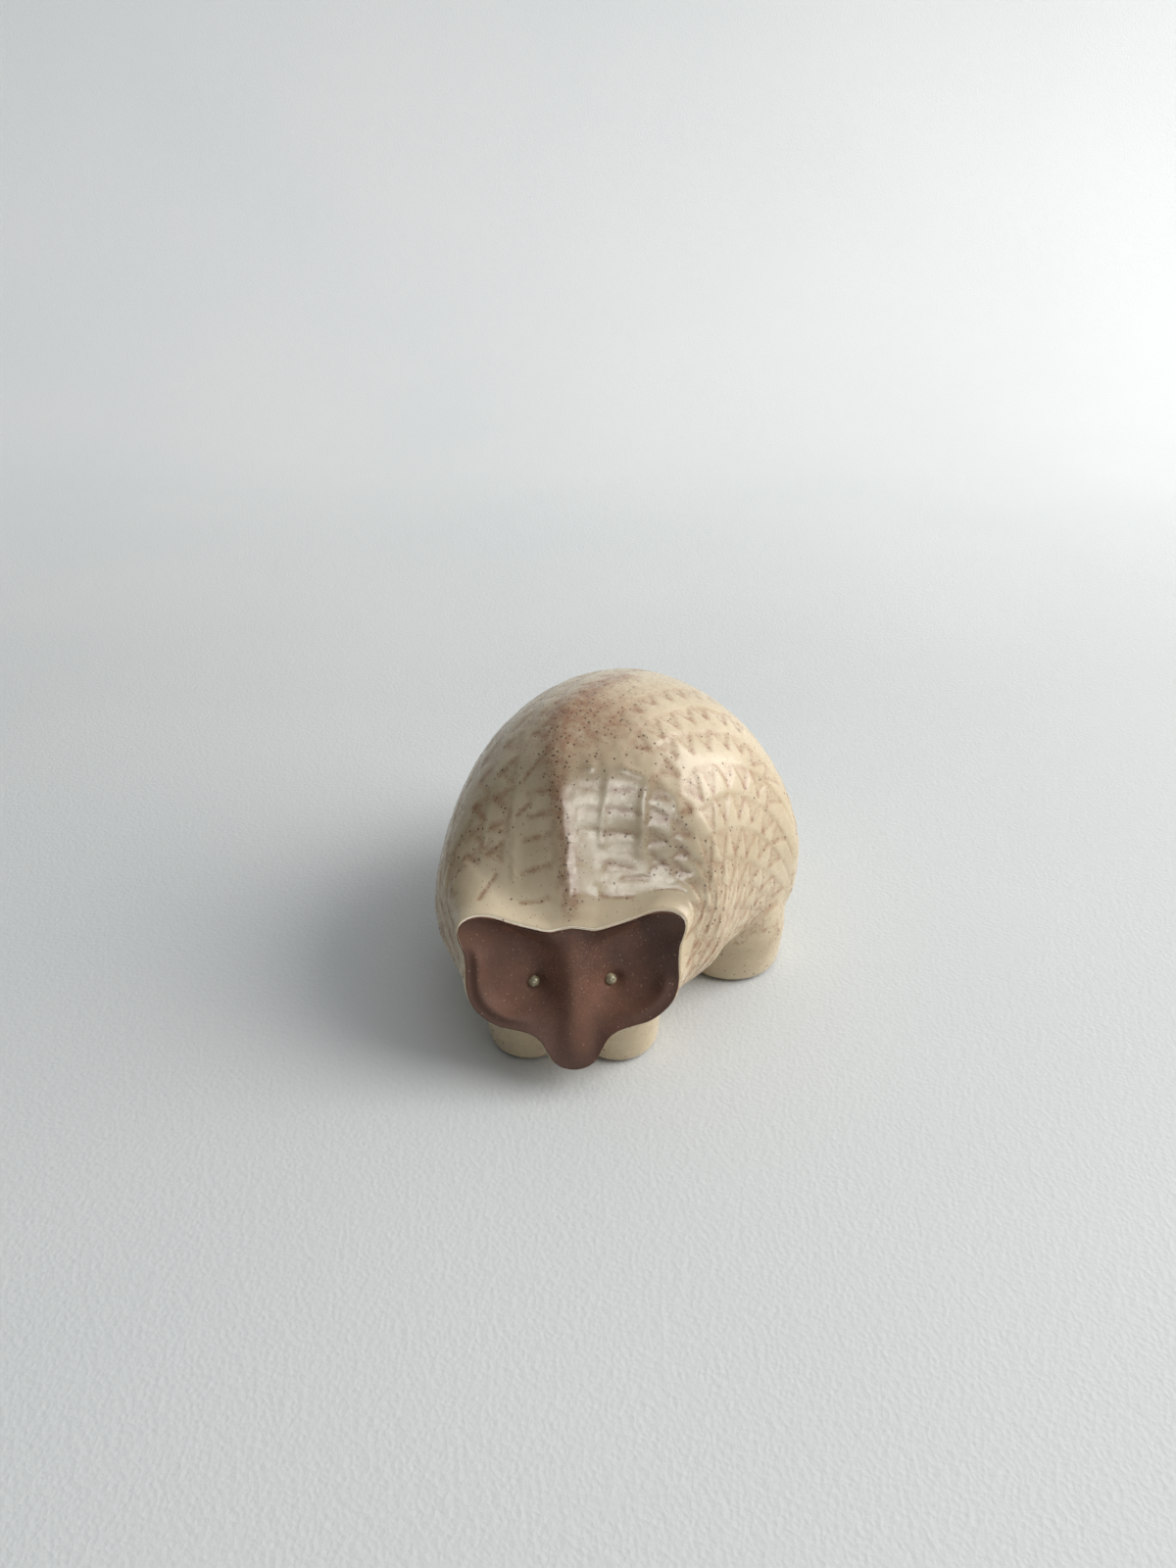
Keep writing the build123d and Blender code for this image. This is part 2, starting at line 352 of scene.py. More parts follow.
def grid_mesh(name, columns, rows):
    """A flat grid whose vertices are put in place afterwards, and each one's column and row."""
    bm = bmesh.new()
    bmesh.ops.create_grid(bm, x_segments=columns, y_segments=rows, size=1)
    mesh = made(name, bm)
    flat = np.empty(len(mesh.vertices) * 3)
    mesh.vertices.foreach_get("co", flat)
    flat = flat.reshape(-1, 3)
    column = np.rint((flat[:, 0] + 1) / 2 * columns).astype(int)
    row = np.rint((flat[:, 1] + 1) / 2 * rows).astype(int)
    return mesh, column, row


def closed_mesh(mesh, merge):
    """Welds the seam and the poles of a placed grid, closes its open end and turns it outwards."""
    bm = bmesh.new()
    bm.from_mesh(mesh)
    bmesh.ops.remove_doubles(bm, verts=bm.verts, dist=merge * millimetre)
    bmesh.ops.dissolve_degenerate(bm, edges=bm.edges, dist=1e-7)
    bmesh.ops.holes_fill(bm, edges=[e for e in bm.edges if e.is_boundary])
    bmesh.ops.recalc_face_normals(bm, faces=bm.faces)
    for face in bm.faces:
        face.smooth = True
    bm.to_mesh(mesh)
    bm.free()


def show(mesh):
    """Puts a mesh in the scene as an object of its own."""
    piece = bpy.data.objects.new(mesh.name, mesh)
    bpy.context.scene.collection.objects.link(piece)
    return piece


def combined(piece, operation, tool):
    """Joins a closed form to a piece or takes it away, for good."""
    step = piece.modifiers.new(operation, "BOOLEAN")
    step.operation = operation
    step.solver = "MANIFOLD"
    step.object = tool
    bpy.context.view_layer.update()
    shaped = bpy.data.meshes.new_from_object(
        piece.evaluated_get(bpy.context.evaluated_depsgraph_get()))
    piece.modifiers.clear()
    shaped.name = piece.data.name
    piece.data = shaped
    bpy.data.objects.remove(tool)


def surface_tree(mesh):
    """A search tree for the nearest place on a mesh's faces."""
    shape = bmesh.new()
    shape.from_mesh(mesh)
    tree = BVHTree.FromBMesh(shape)
    shape.free()
    return tree


def body_form(name, columns, rows, growth, lip):
    """The body's closed form and, for each vertex, its place on the surface.

    The lip is a list of (distance behind the face, growth) that rounds the front edge.
    """
    dense_rows, lip_rows = 700, 40
    shares, crest = even_shares(dense_rows)
    angles, radii = around(np.arange(columns) / columns)
    flat = np.array([section(share, angles, radii) for share in shares])
    dense = np.array([placed(share, points) for share, points in zip(shares, flat)])
    side = np.linalg.norm(np.roll(flat, -1, 1) - flat, axis=2)
    girth = np.concatenate([np.zeros((len(side), 1)), np.cumsum(side, 1)[:, :-1]], 1)
    whole = side.sum(1, keepdims=True)
    girth = np.where(girth > whole / 2, girth - whole, girth)
    ahead = np.gradient(dense, axis=0)
    normal = np.cross(np.roll(dense, -1, 1) - np.roll(dense, 1, 1), ahead)
    normal /= np.maximum(np.linalg.norm(normal, axis=2, keepdims=True), 1e-9)
    normal *= np.sign(((dense - dense.mean(1, keepdims=True)) * normal).sum())
    normal[-1] = normal[-2].mean(0) / np.linalg.norm(normal[-2].mean(0))
    stretch = np.linalg.norm(ahead, axis=2) / np.maximum(np.gradient(crest)[:, None], 1e-6)
    run = np.cumsum(np.linalg.norm(np.diff(dense[:lip_rows], axis=0), axis=2), 0)
    marks = np.array([behind for behind, _ in lip])
    lip_spots = np.array([
        np.interp(marks, np.append(0, run[:, c]), np.arange(lip_rows)) for c in range(columns)
    ]).T
    rest = np.arange(1, rows + 1)[:, None] / rows
    body_spots = lip_spots[-1] + rest * (len(shares) - 1 - lip_spots[-1])
    spots = np.concatenate([lip_spots, body_spots])
    growths = np.append([amount for _, amount in lip], np.full(rows, growth))
    low = np.minimum(spots.astype(int), len(shares) - 2)
    part = spots - low
    every = np.arange(columns)[None, :]

    def at_spots(field):
        share_of = part[..., None] if field.ndim == 3 else part
        return field[low, every] * (1 - share_of) + field[low + 1, every] * share_of

    outward = at_spots(normal)
    outward /= np.maximum(np.linalg.norm(outward, axis=2, keepdims=True), 1e-9)
    places = at_spots(dense) + growths[:, None, None] * outward
    places[-1] = dense[-1] + growth * normal[-1]
    mesh, column, row = grid_mesh(name, columns, len(places) - 1)
    column = column % columns
    wide = np.ones((1, columns))
    fields = {
        "place": places, "normal": outward, "girth": at_spots(girth),
        "whole": at_spots(whole * wide), "length": at_spots(crest[:, None] * wide),
        "share": at_spots(shares[:, None] * wide), "stretch": np.clip(at_spots(stretch), 0.2, 3),
        "lip": (np.arange(len(places))[:, None] < len(lip)) * wide,
    }
    return mesh, {label: field[row, column] for label, field in fields.items()}


def put(mesh, places):
    """Moves a mesh's vertices to their places, given in millimetres."""
    mesh.vertices.foreach_set("co", (places * millimetre).ravel())
    mesh.update()


def foot_form(name, share, sideways, radius, growth, columns, rows, wobble):
    """A stub foot: a rounded sole, a shank that widens upwards, a drawn-in shoulder."""
    reach = radius + growth
    sole_edge, shank_height, shoulder_height, foot_height = 2.4, 13, 23, 28
    sole = reach * 0.95 - sole_edge
    curve = [(0, 0), (sole * 0.5, 0), (sole, 0)]
    curve += [
        (sole + sole_edge * sin(a), sole_edge - sole_edge * cos(a))
        for a in np.linspace(0.2, pi / 2, 8)
    ]
    curve += [(reach, shank_height), (reach * 0.93, shoulder_height)]
    curve += [(reach * 0.3, foot_height), (0, foot_height)]
    curve = np.array(curve, float)
    steps = np.append(0, np.cumsum(np.linalg.norm(np.diff(curve, axis=0), axis=1)))
    spots = np.linspace(0, steps[-1], rows + 1)
    profile = np.stack([np.interp(spots, steps, curve[:, k]) for k in (0, 1)], 1)
    mesh, column, row = grid_mesh(name, columns, rows)
    turn = 2 * pi * column / columns
    x, y = plan_place(share, sideways)
    phase = sideways + share * 9
    lobe = 1 + wobble * (
        0.6 + 0.5 * np.sin(2 * turn + phase) + 0.5 * np.sin(3 * turn - 2 * phase)
    ) * np.clip(profile[row, 1] / 4, 0, 1)
    out = profile[row, 0] * lobe
    put(mesh, np.stack([x + out * np.cos(turn), y + out * np.sin(turn), profile[row, 1]], 1))
    closed_mesh(mesh, 0.05)
    return show(mesh)


# each press of the tool falls a little off its place, the same way in every run
noise = np.random.default_rng(7)


def pressed_wedge(fields, height, ink, corners, depth, line):
    """Presses one triangle into the clay: a shallow floor, deeper edges, rusty lines."""
    length, girth = fields["length"], fields["girth"]
    corners = np.array(corners, float)
    near = (
        (length > corners[:, 0].min() - 4) & (length < corners[:, 0].max() + 4)
        & (girth > corners[:, 1].min() - 3) & (girth < corners[:, 1].max() + 3)
    )
    if near.sum() < 6:
        return
    spread = fields["stretch"][near].mean()
    spot = np.stack([length[near] * spread, girth[near]], 1)
    points = corners * [spread, 1]
    first, last = points[1] - points[0], points[2] - points[0]
    turn = np.sign(first[0] * last[1] - first[1] * last[0])
    inside = np.full(len(spot), 99.0)
    edge = np.zeros(len(spot))
    for k in range(3):
        a, b = points[k], points[(k + 1) % 3]
        run = (b - a) / max(np.linalg.norm(b - a), 1e-6)
        away = spot - a
        inside = np.minimum(inside, turn * (run[0] * away[:, 1] - run[1] * away[:, 0]))
        t = np.clip(away @ run, 0, np.linalg.norm(b - a))
        gap = np.linalg.norm(away - t[:, None] * run, axis=1)
        faint = 0.5 if k == 0 else 1
        edge = np.maximum(edge, faint * np.exp(-(gap / line) ** 2))
    tip = np.exp(-(np.linalg.norm(spot - points[2], axis=1) / (2.0 * line)) ** 2)
    floor = smooth_step((inside + 0.3) / 1.0)
    height[near] = np.minimum(height[near], -depth * (0.6 * floor + 0.4 * edge))
    ink[near] = np.maximum(ink[near], np.clip(0.55 * edge + 0.35 * tip + 0.28 * floor, 0, 1))


def pressed_line(fields, height, ink, places, depth, line, strength):
    """Presses a run of straight strokes into the clay."""
    length, girth = fields["length"], fields["girth"]
    places = np.array(places, float)
    for a, b in zip(places, places[1:]):
        low, high = np.minimum(a, b) - 4, np.maximum(a, b) + 4
        near = (length > low[0]) & (length < high[0]) & (girth > low[1]) & (girth < high[1])
        if near.sum() < 4:
            continue
        spread = fields["stretch"][near].mean()
        first, second = a * [spread, 1], b * [spread, 1]
        size = max(np.linalg.norm(second - first), 1e-6)
        run = (second - first) / size
        away = np.stack([length[near] * spread, girth[near]], 1) - first
        t = np.clip(away @ run, 0, size)
        gap = np.linalg.norm(away - t[:, None] * run, axis=1)
        mark = np.exp(-(gap / line) ** 2)
        height[near] = np.minimum(height[near], -depth * mark)
        ink[near] = np.maximum(ink[near], strength * mark)


tooth_depth, tooth_line = 0.36, 0.62


def row_teeth(fields, height, ink, row, pitch, reach, side, fade):
    """A row of teeth that hang square from a line drawn over the back."""
    row = np.array(row, float)
    spread = np.array([fields["stretch"][np.argmin(
        (fields["length"] - t) ** 2 + (fields["girth"] - w) ** 2)] for t, w in row])
    spans = np.diff(row, axis=0)
    spans[:, 0] *= (spread[1:] + spread[:-1]) / 2
    steps = np.append(0, np.cumsum(np.linalg.norm(spans, axis=1)))
    for spot in np.arange(noise.uniform(0, 0.4) * pitch, steps[-1] - pitch, pitch):
        ends = spot + noise.uniform(-0.4, 0.3), spot + pitch * 0.88 + noise.uniform(-0.3, 0.4)
        a, b = (np.array([np.interp(end, steps, row[:, k]) for k in (0, 1)]) for end in ends)
        here = np.interp(spot, steps, spread)
        run = (b - a) * [here, 1]
        run /= np.linalg.norm(run)
        down = np.array([-run[1] / here, run[0]])
        tip = (a + b) / 2 + down * reach * noise.uniform(0.85, 1.15)
        tip[0] += noise.uniform(-0.5, 0.5)
        corners = np.array([a, b, tip]) * [1, side]
        pressed_wedge(fields, height, ink, corners, tooth_depth * fade, tooth_line)
    pressed_line(fields, height, ink, row * [1, side], 0.15 * fade, 0.5, 0.35 * fade)


def relief(fields):
    """How far the surface stands out or in, and where the glaze breaks rusty."""
    length, girth, share = fields["length"], fields["girth"], fields["share"]
    count = len(length)
    height, ink = np.zeros(count), np.zeros(count)

    # pads beside the crest, pressed with the side of a stick in columns: start, end, height
    pad_edges = [5.5, 10.2, 18.0, 26.0, 31.6, 36.8, 43.0]
    pads = np.zeros(count)
    for low, high, lift in ((0.2, 6.9, 0.72), (6.9, 15.6, 0.66), (-14.6, -6.2, 0.5)):
        half = (high - low) / 2
        wide = smooth_step((half - np.abs(girth - (low + high) / 2) + 0.5) / 3.2)
        for start, end in zip(pad_edges, pad_edges[1:]):
            shift = noise.uniform(-0.6, 0.6) + 0.12 * (girth - 6)
            centre, reach = (start + end) / 2 + shift, (end - start) / 2
            tall = smooth_step((reach - np.abs(length - centre) + 0.5) / 3.0)
            pads = np.maximum(pads, lift * noise.uniform(0.8, 1.1) * wide * tall)
    height += pads

    # dents of the fingertips, which break up the light on the pads
    dent_depth = 0.1
    dents = np.sin(girth / 0.85 + 1.3 * np.sin(length / 4.3)) * np.sin(length / 1.25 + girth / 6)
    beside_crest = smooth_step((17 - np.abs(girth)) / 4) * smooth_step((length - 5) / 5)
    height += dent_depth * dents * beside_crest * smooth_step((52 - length) / 8)

    # strokes across the columns, between the pads
    for low, high, strength in ((6.8, 14.2, 0.75), (-12.6, -6.4, 0.7), (0.8, 5.0, 0.35)):
        for edge in pad_edges[1:-1]:
            start = edge + noise.uniform(-0.5, 0.5) + 0.12 * (low - 6)
            end = edge + noise.uniform(-0.5, 0.5) + 0.12 * (high - 6)
            pressed_line(fields, height, ink, [(start, low), (end, high)], 0.12, 0.85, strength)

    # raised seams that frame the columns: place, start, end and height
    seams = ((15.9, 20, 47, 0.2), (24.6, 36, 52, 0.3), (-15.4, 12, 44, 0.15), (6.3, 8, 44, 0.15))
    for seam, low, high, lift in seams:
        rise_here = smooth_step((length - low) / 4) * smooth_step((high - length) / 4)
        wander = girth - seam - 0.02 * (length - 30) - 0.35 * np.sin(length / 2.6 + seam)
        height += lift * rise_here * np.exp(-(wander / 1.3) ** 2)

    # the two columns of single teeth beside the pads, as corners of (length, girth), and the
    # rows over the flanks and the rump: places on the row, the teeth's pitch and their reach
    pressed = np.zeros(count)
    for side, fade in ((1, 1), (-1, 0.85)):
        teeth = [
            ((37.6, 16.6), (43.6, 17.0), (40.9, 22.0)), ((30.6, 16.6), (36.6, 16.4), (35.6, 22.2)),
            ((25.8, 17.6), (30.2, 17.0), (29.6, 22.6)), ((44.6, 17.4), (50.5, 18.4), (48.6, 23.4)),
            ((20.0, 18.6), (24.8, 18.4), (23.6, 23.0)),
            ((37.6, 24.4), (44.4, 24.6), (42.4, 29.0)), ((31.7, 24.2), (36.9, 24.0), (36.3, 29.4)),
            ((26.6, 24.8), (31.0, 24.4), (30.4, 29.0)), ((21.6, 24.8), (25.8, 24.6), (25.0, 29.4)),
            ((45.2, 25.4), (50.6, 26.6), (48.4, 31.4)),
        ]
        for corners in teeth:
            corners = np.array(corners) * [1, side] + noise.uniform(-0.25, 0.25, (3, 2))
            pressed_wedge(fields, pressed, ink, corners, 0.24 * fade, 0.75)
        tooth_rows = [
            ([(52, 3.0), (60, 4.5), (72, 6.5), (88, 8.0), (101, 10)], 6.2, 4.4),
            ([(46, 9.5), (56, 11.0), (66, 14.0), (80, 16.5), (92, 20), (101, 26)], 6.2, 4.8),
            ([(50, 15.8), (56, 17.1), (61.3, 19.6), (69.1, 22.6), (76.8, 24.8), (84.2, 27.6),
              (89.1, 31.4), (95, 38), (99, 46)], 6.2, 5.2),
            ([(45.8, 24.4), (51.1, 25.8), (57.7, 28.7), (67.2, 32.4), (76.8, 36.5), (84.2, 39.9),
              (90.1, 44.6), (97, 52)], 6.3, 5.6),
            ([(43.4, 31.0), (48.1, 33.1), (54.6, 36.4), (64.9, 40.8), (73.4, 45.6), (80.8, 49.9),
              (87.3, 55.2), (94, 62)], 6.4, 5.6),
            ([(38, 32.5), (40.5, 36.0), (46.2, 39.6), (54.3, 45.3), (63.9, 50.7), (72.4, 55.9),
              (80.8, 61.1), (92, 68.5)], 6.8, 5.6),
            ([(29.4, 30.3), (33.9, 35.9), (42.3, 44.2), (54.3, 54.5), (64.2, 61.2), (78.1, 68.5),
              (94, 74.5)], 7.4, 5.2),
            ([(21.2, 28.3), (27.3, 34.8), (40.2, 49.0), (55.6, 62.9), (72.4, 72.6), (94, 81)], 7.2, 5.0),
            ([(12, 29), (19.6, 35.5), (36.9, 53.4), (58, 71.5), (79.1, 81.0), (94, 87)], 6.8, 4.8),
            ([(9, 35.0), (19.6, 44.0), (41.6, 65.3), (62, 80.0), (80, 88)], 6.4, 4.2),
            ([(9, 42.0), (18, 51.0), (34, 68.0), (48, 80)], 6.0, 3.8),
            ([(100, 54), (103.5, 32), (105.5, 12), (106, 0.5)], 6.2, 4.8),
            ([(107, 60), (110.5, 36), (113, 14), (113.5, 0.5)], 6.2, 4.6),
            ([(112, 66), (116.5, 38), (120, 14), (120.5, 0.5)], 6.0, 4.0),
        ]
        for row, pitch, reach in tooth_rows:
            row_teeth(fields, pressed, ink, row, pitch, reach, side, fade)
    crest_calm = smooth_step((girth - 1) / 5) + smooth_step((-girth - 9) / 5)
    pressed *= np.clip(crest_calm + (length > 56), 0, 1)
    height += pressed

    # single strokes of the tool, each with how dark it breaks
    strokes = [
        ([(15.6, 12.0), (17.6, 18.4)], 0.9), ([(16.8, 7.5), (18.4, 13.8)], 0.5),
        ([(6.2, -22.9), (16.5, -19.7)], 0.85), ([(30, -15.1), (32.2, -11.8)], 0.9),
        ([(12.8, -30.9), (29.4, -34.1), (34.2, -27.6), (38, -24.5)], 0.6),
        ([(20, -31), (26, -22)], 0.5), ([(38, -14), (42.5, -10)], 0.7),
        ([(23, 24.6), (19.5, 27.5)], 0.4), ([(14, 20), (15.5, 27)], 0.55),
    ]
    for places, strength in strokes:
        pressed_line(fields, height, ink, places, 0.16, 0.6, strength)

    # the keel of the back, the long soft facets left by the potter's thumbs, and the flank's
    # swell above the rear feet
    keel_bluntness, keel_width, facet_depth, swell_height = 2.6, 6.2, 0.11, 3.2
    keel_at = np.interp(length, [0, 21, 41, 57, 70, 95], [0.0, -2.0, -6.6, -8.6, -5.5, -2.0])
    keel_lift = np.interp(length, [0, 4, 16, 42, 58, 75, 100], [0.0, 0.6, 1.9, 2.0, 0.9, 0.35, 0])
    away = girth - keel_at
    roof = np.sqrt(away ** 2 + keel_bluntness ** 2) - keel_bluntness
    height += keel_lift * np.exp(-roof / keel_width)
    facet = np.sin(girth / 5.2 + 0.6) * np.sin(length / 9.0 + 0.8 * np.sin(girth / 11))
    height += facet_depth * facet * smooth_step((np.abs(girth) - 8) / 6) * smooth_step(length / 10)
    above_foot = np.exp(-((length - 88) / 14) ** 2 - ((np.abs(girth) - 90) / 10) ** 2)
    height += swell_height * above_foot

    # all of it dies away at the face's edge, under the belly and at the tail
    calm = smooth_step((fields["whole"] / 2 - np.abs(girth)) / 8) * smooth_step((length - 1) / 4)
    calm *= smooth_step((0.985 - share) / 0.06)

    # the iron comes through in a patch on the back and along the keel
    iron = np.exp(-((length - 54) / 13) ** 2 - ((girth + 2) / 12) ** 2)
    crest_line = np.exp(-(away / 2.6) ** 2) * smooth_step(length / 8) * (length < 80)
    return height * calm, ink * calm, np.clip(iron + crest_line, 0, 1)


skin_columns, skin_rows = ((400, 186))
# the edge round the face: how far behind the face, and how thick there
lip = [(0.9, 0.08), (1.0, 0.3), (1.2, 0.5), (1.5, 0.64), (1.9, 0.7)]
skin_mesh, skin = body_form("glaze_skin", skin_columns, skin_rows, glaze_thickness, lip)
lift, ink_at, iron_at = relief(skin)
lift[skin["lip"] > 0] = 0
pressed_places = skin["place"] + lift[:, None] * skin["normal"]

# the glaze is never thinner than this over the clay that lies within reach, in metres
thinnest_glaze, clay_reach = 0.00028, 0.003
clay_tree = surface_tree(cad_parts["body_dome"].data)
for k in np.flatnonzero(skin["lip"] <= 0):
    spot, outwards, _, _ = clay_tree.find_nearest(
        Vector(pressed_places[k]) * millimetre, clay_reach)
    if spot is None:
        continue
    cover = (Vector(pressed_places[k]) * millimetre - spot).dot(outwards)
    if cover < thinnest_glaze:
        pressed_places[k] += np.array(outwards) * (thinnest_glaze - cover) / millimetre
put(skin_mesh, pressed_places)
closed_mesh(skin_mesh, 0.0001)
glaze_skin = show(skin_mesh)

feet_outside = []
for name, (share, sideways, radius) in foot_places.items():
    outside = foot_form("outside_" + name, share, sideways, radius, glaze_thickness, 132, 60, 0.03)
    feet_outside.append(outside)
joint_trees = [surface_tree(form.data) for form in [glaze_skin] + feet_outside]
for outside in feet_outside:
    combined(glaze_skin, "UNION", outside)

# the wet clay of each joint is smoothed with a finger, and the glaze pools in it: what lies
# this near to both the body and a foot, in metres, is smoothed but never drawn inwards
joint_reach, push_reach, joint_low, joint_high = 0.0045, 0.006, 0.004, 0.04
smoothing_rounds, passes_in_a_round = 8, 6
joined = bmesh.new()
joined.from_mesh(glaze_skin.data)
bmesh.ops.triangulate(joined, faces=[f for f in joined.faces if len(f.verts) > 4])
close = []
for vertex in joined.verts:
    if not joint_low <= vertex.co.z <= joint_high:
        continue
    at_body, *at_feet = (tree.find_nearest(vertex.co, joint_reach)[0] for tree in joint_trees)
    if at_body and any(at_feet):
        close.append(vertex)
for _ in range(smoothing_rounds):
    for _ in range(passes_in_a_round):
        bmesh.ops.smooth_vert(joined, verts=close, factor=0.5, use_axis_x=True, use_axis_y=True,
                              use_axis_z=True)
    for vertex in close:
        for tree in joint_trees:
            spot, outwards, _, _ = tree.find_nearest(vertex.co, push_reach)
            if spot and (vertex.co - spot).dot(outwards) < 0:
                vertex.co = spot
joined.to_mesh(glaze_skin.data)
joined.free()

# the clay inside the glaze, the bare soles and the vent are left without glaze
inside_mesh, inside = body_form("inside", 120, 60, 0.0, [(0.0, 0.0), (0.9, 0.0)])
put(inside_mesh, inside["place"])
closed_mesh(inside_mesh, 0.0001)
combined(glaze_skin, "DIFFERENCE", show(inside_mesh))
for name, (share, sideways, radius) in foot_places.items():
    core = foot_form("core_" + name, share, sideways, radius, 0.0, 60, 24, 0)
    combined(glaze_skin, "DIFFERENCE", core)


def block(name, corner, size):
    """A plain block that cuts away what lies in it."""
    bm = bmesh.new()
    bmesh.ops.create_cube(bm, size=1)
    bmesh.ops.scale(bm, verts=bm.verts, vec=Vector(size))
    bmesh.ops.translate(bm, verts=bm.verts, vec=Vector(corner) + Vector(size) / 2)
    return show(made(name, bm))


bare_sole_height, vent_radius, vent_share = 0.0011, 0.0025, 0.42
under_soles = block("under_soles", (-0.1, -0.1, -0.01), (0.2, 0.2, 0.01 + bare_sole_height))
combined(glaze_skin, "DIFFERENCE", under_soles)
vent_x, vent_y = plan_place(vent_share, 0)
bm = bmesh.new()
bmesh.ops.create_cone(bm, cap_ends=True, segments=48, radius1=vent_radius, radius2=vent_radius,
                      depth=0.03)
bmesh.ops.translate(bm, verts=bm.verts, vec=(vent_x * millimetre, vent_y * millimetre, 0.015))
combined(glaze_skin, "DIFFERENCE", show(made("vent", bm)))


carry_reach = 0.0012


def kept_on(mesh, points, values):
    """Carries values worked out on the surface's grid over to the finished mesh."""
    tree = KDTree(len(points))
    for index, point in enumerate(points):
        tree.insert(point, index)
    tree.balance()
    nearest = [tree.find(vertex.co) for vertex in mesh.vertices]
    for label, field in values.items():
        layer = mesh.attributes.new(label, "FLOAT", "POINT")
        layer.data.foreach_set("value", [
            float(field[index]) if gap < carry_reach else 0.0 for _, index, gap in nearest
        ])


kept_on(glaze_skin.data, pressed_places * millimetre, {"ink": ink_at, "iron": iron_at})
glaze_skin.data.shade_smooth()
glaze_skin.data.set_sharp_from_angle(angle=radians(55))


def glaze_material():
    """Cream stoneware glaze: pale where it is thick, tan where thin, rusty in the lines."""
    cream, deep_cream, tan = linear(214, 197, 167), linear(196, 177, 145), linear(192, 168, 134)
    iron_brown, line_brown, line_dark = linear(162, 120, 92), linear(160, 118, 88), linear(112, 76, 56)
    fine_speck, coarse_speck = linear(126, 84, 62), linear(84, 52, 38)
    material = bpy.data.materials.new("cream_glaze")
    mix = Finish(material)
    ink, iron = mix.attribute("ink"), mix.attribute("iron")
    cloud, mottle, fine = mix.noise(60, 3, 0.55), mix.noise(420, 4, 0.6), mix.noise(1500, 3, 0.6)

    # low on the flanks the teeth run together into streaks
    height = mix.add("ShaderNodeSeparateXYZ")
    mix.link(mix.coordinates["Object"], height.inputs[0])
    height = height.outputs[2]
    near_feet = mix.times(mix.ramp(height, 0.009, 0.015), mix.ramp(height, 0.036, 0.026))
    streaks = mix.times(near_feet, mix.ramp(mix.noise(330), 0.5, 0.66, 0, 0.7))
    ink = mix.work("MAXIMUM", ink, streaks)

    colour = mix.blended(mix.ramp(cloud, 0.35, 0.68), cream, deep_cream)
    colour = mix.blended(mix.ramp(mottle, 0.5, 0.78, 0, 0.5), colour, tan)
    iron_cloud = mix.times(iron, mix.ramp(mottle, 0.3, 0.62, 0.25, 0.9))
    colour = mix.blended(iron_cloud, colour, iron_brown)
    broken = mix.times(ink, mix.ramp(mottle, 0.32, 0.62, 0.25, 1.0))
    colour = mix.blended(mix.ramp(broken, 0.06, 0.8, 0, 0.88), colour, line_brown)
    dark_line = mix.times(mix.ramp(ink, 0.5, 1.0), mix.ramp(fine, 0.48, 0.66))
    colour = mix.blended(mix.times(dark_line, 0.7), colour, line_dark)

    # specks crowd where the iron is, in the lines, and round the soles
    few = mix.plus(mix.times(iron, 0.8), mix.plus(mix.times(ink, 0.42), 0.025))
    few = mix.plus(few, mix.ramp(height, 0.008, 0.002, 0, 0.3))
    many = mix.plus(mix.times(iron, 0.5), mix.plus(mix.times(ink, 0.5), 0.07))
    large, small = mix.specks(900, 0.34, few), mix.specks(1700, 0.36, many)
    colour = mix.blended(mix.times(small, 0.7), colour, fine_speck)
    colour = mix.blended(mix.times(large, 0.82), colour, coarse_speck)
    waves = mix.plus(mix.noise(170), mix.times(mottle, 0.35))
    waves = mix.work("SUBTRACT", waves, mix.times(large, 0.25))
    mix.surface(colour, mix.ramp(mottle, 0.3, 0.7, 0.2, 0.32), {"IOR": 1.52}, waves, 0.35, 0.0003)
    return material


glaze_skin.data.materials.clear()
glaze_skin.data.materials.append(glaze_material())
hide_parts("glaze_coat")
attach(glaze_skin, "root")


# The bare face
# A plaque of dark iron clay, wiped clean of glaze: two broad dishes pressed by the
# potter's thumbs beside a soft ridge, with a dimple for each eye. Fired dry and sandy.
eye_spacing, eye_drop = 18.8, 4.6
snout_width = 12.0
dish_depth, dimple_depth, cheek_roll = 4.6, 0.9, 1.5
rim_setback = 0.7
facing = axes_at(0)[3]


def dish(x, y, turn_radius):
    """Depth of the face behind its front plane."""
    across = (np.hypot(x, y) / turn_radius) ** 4
    half_ridge = snout_width / 2 * (1 + 0.12 * np.sin(y / 4))
    ridge = np.exp(-((x + 0.25 * np.sin(y / 5)) / half_ridge) ** 2)
    hollow = dish_depth * (1 - across) / (1 + across) * (1 - ridge)
    for side in (1, -1):
        away = np.hypot((x - side * (eye_spacing / 2) - 0.35) / 1.15, y + eye_drop + 0.1)
        hollow = hollow + dimple_depth * np.exp(-(away / 1.9) ** 2)
        away = np.hypot(x - side * (eye_spacing / 2) - 1.5, y + eye_drop - 0.9)
        hollow = hollow + 0.6 * np.exp(-(away / 1.3) ** 2)
    hand = 0.12 * np.sin(x / 3.1 + 1.0) * np.sin(y / 2.7) * np.clip(1 - across, 0, 1)
    from_edge = turn_radius - np.hypot(x, y)
    cheek = smooth_step((-x - 8) / 8) + 0.45 * smooth_step((x - 8) / 8) * smooth_step((-y - 2) / 4)
    roll = cheek_roll * cheek * np.exp(-((from_edge - 3.2) / 1.7) ** 2) * smooth_step((6 - y) / 5)
    return rim_setback + hollow + hand - roll


def grown(outline, amount):
    """A closed outline moved outwards along its own normals."""
    run = np.roll(outline, -1, 0) - np.roll(outline, 1, 0)
    out = np.stack([-run[:, 1], run[:, 0]], 1)
    return outline + amount * out / np.linalg.norm(out, axis=1, keepdims=True)


